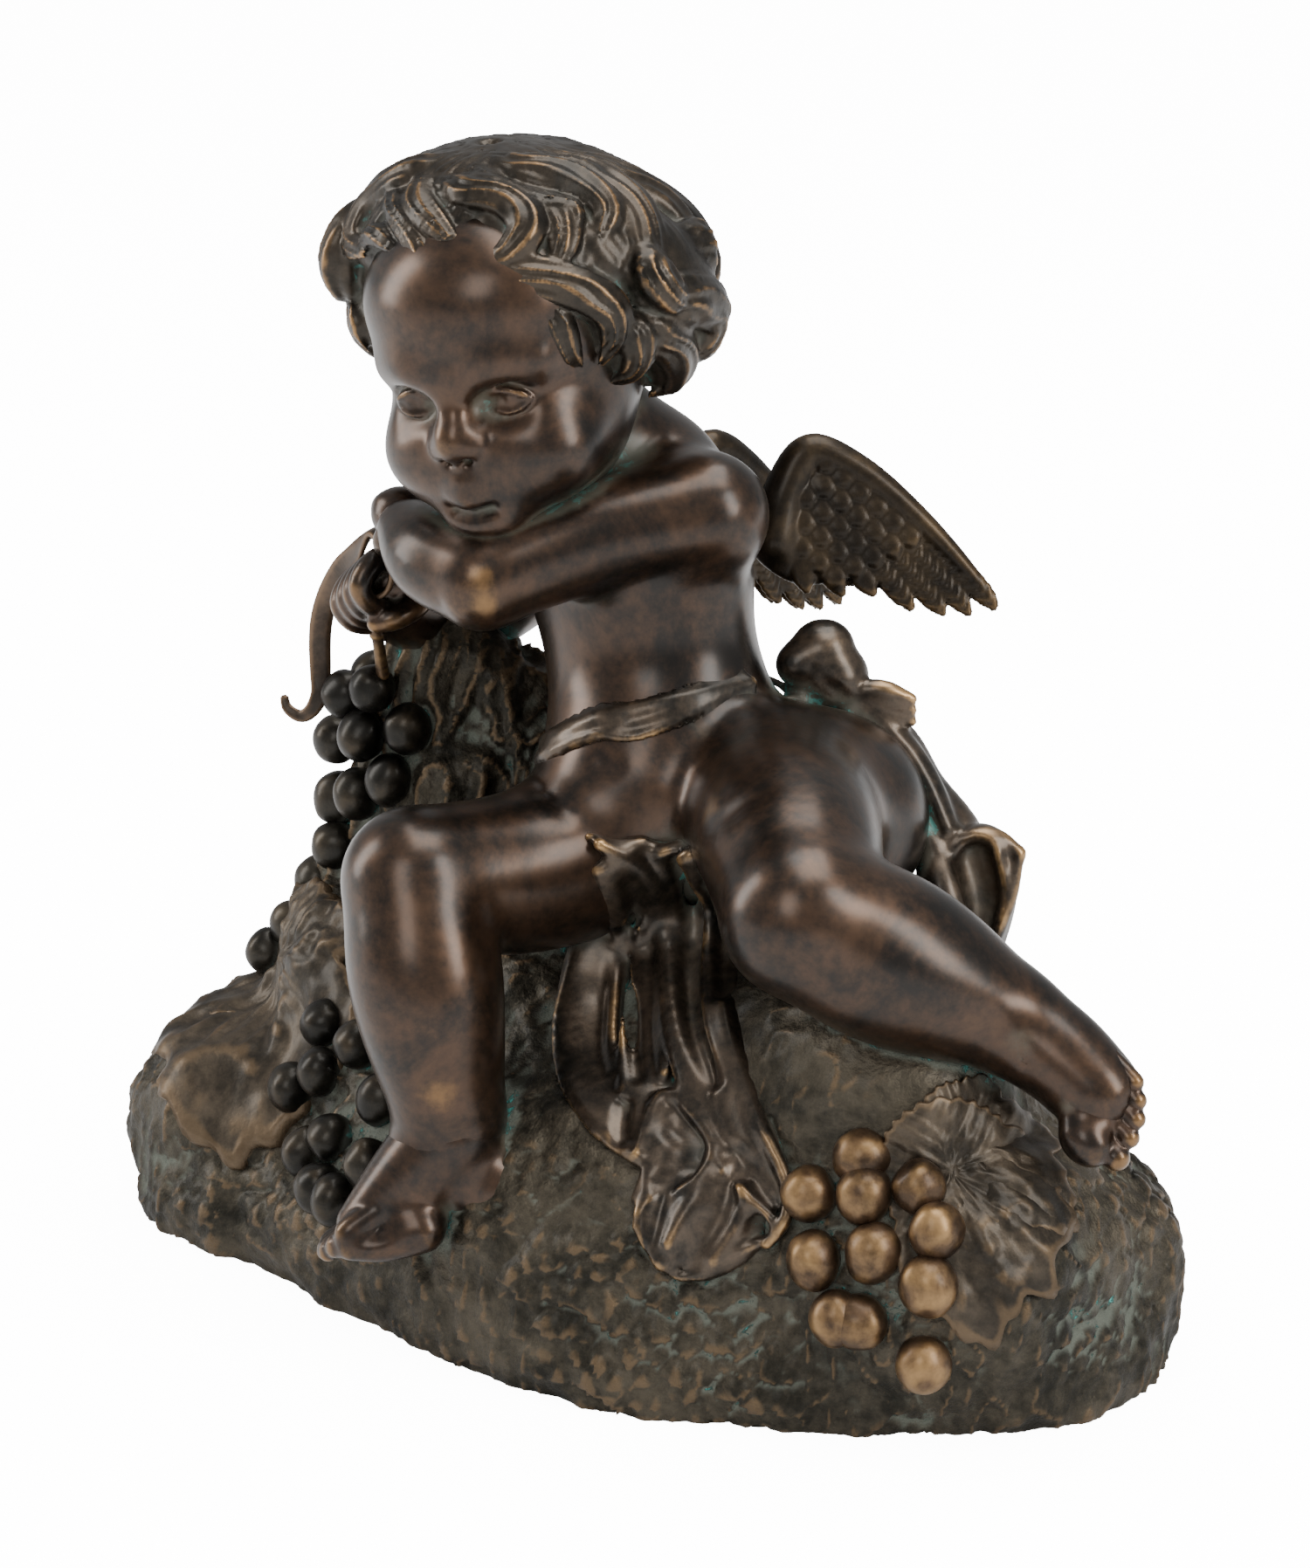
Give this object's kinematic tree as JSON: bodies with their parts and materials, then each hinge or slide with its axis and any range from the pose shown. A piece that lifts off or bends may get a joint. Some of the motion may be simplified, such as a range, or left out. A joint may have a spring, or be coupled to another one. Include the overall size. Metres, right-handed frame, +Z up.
{
  "type": "bronze putto statue",
  "caption": "Cast bronze putto seated on a rock mound with grapes and vine leaves, resting its chin on its arm and holding a flat bow.",
  "frame": {"origin": "centre of the flat underside of the mound", "axes": "+Z up; the figure faces -Y; +X is the figure's left and runs along the mound's length"},
  "size_m": [0.4466, 0.2944, 0.4467],
  "materials": {
    "dark_bronze": "dark brown patina with brassy high points and verdigris in the hollows",
    "worn_bronze": "dull worn brown patina"
  },
  "bodies": {
    "root": {"putto_casting": "dark_bronze", "bow": "worn_bronze"}
  },
  "joints": []
}
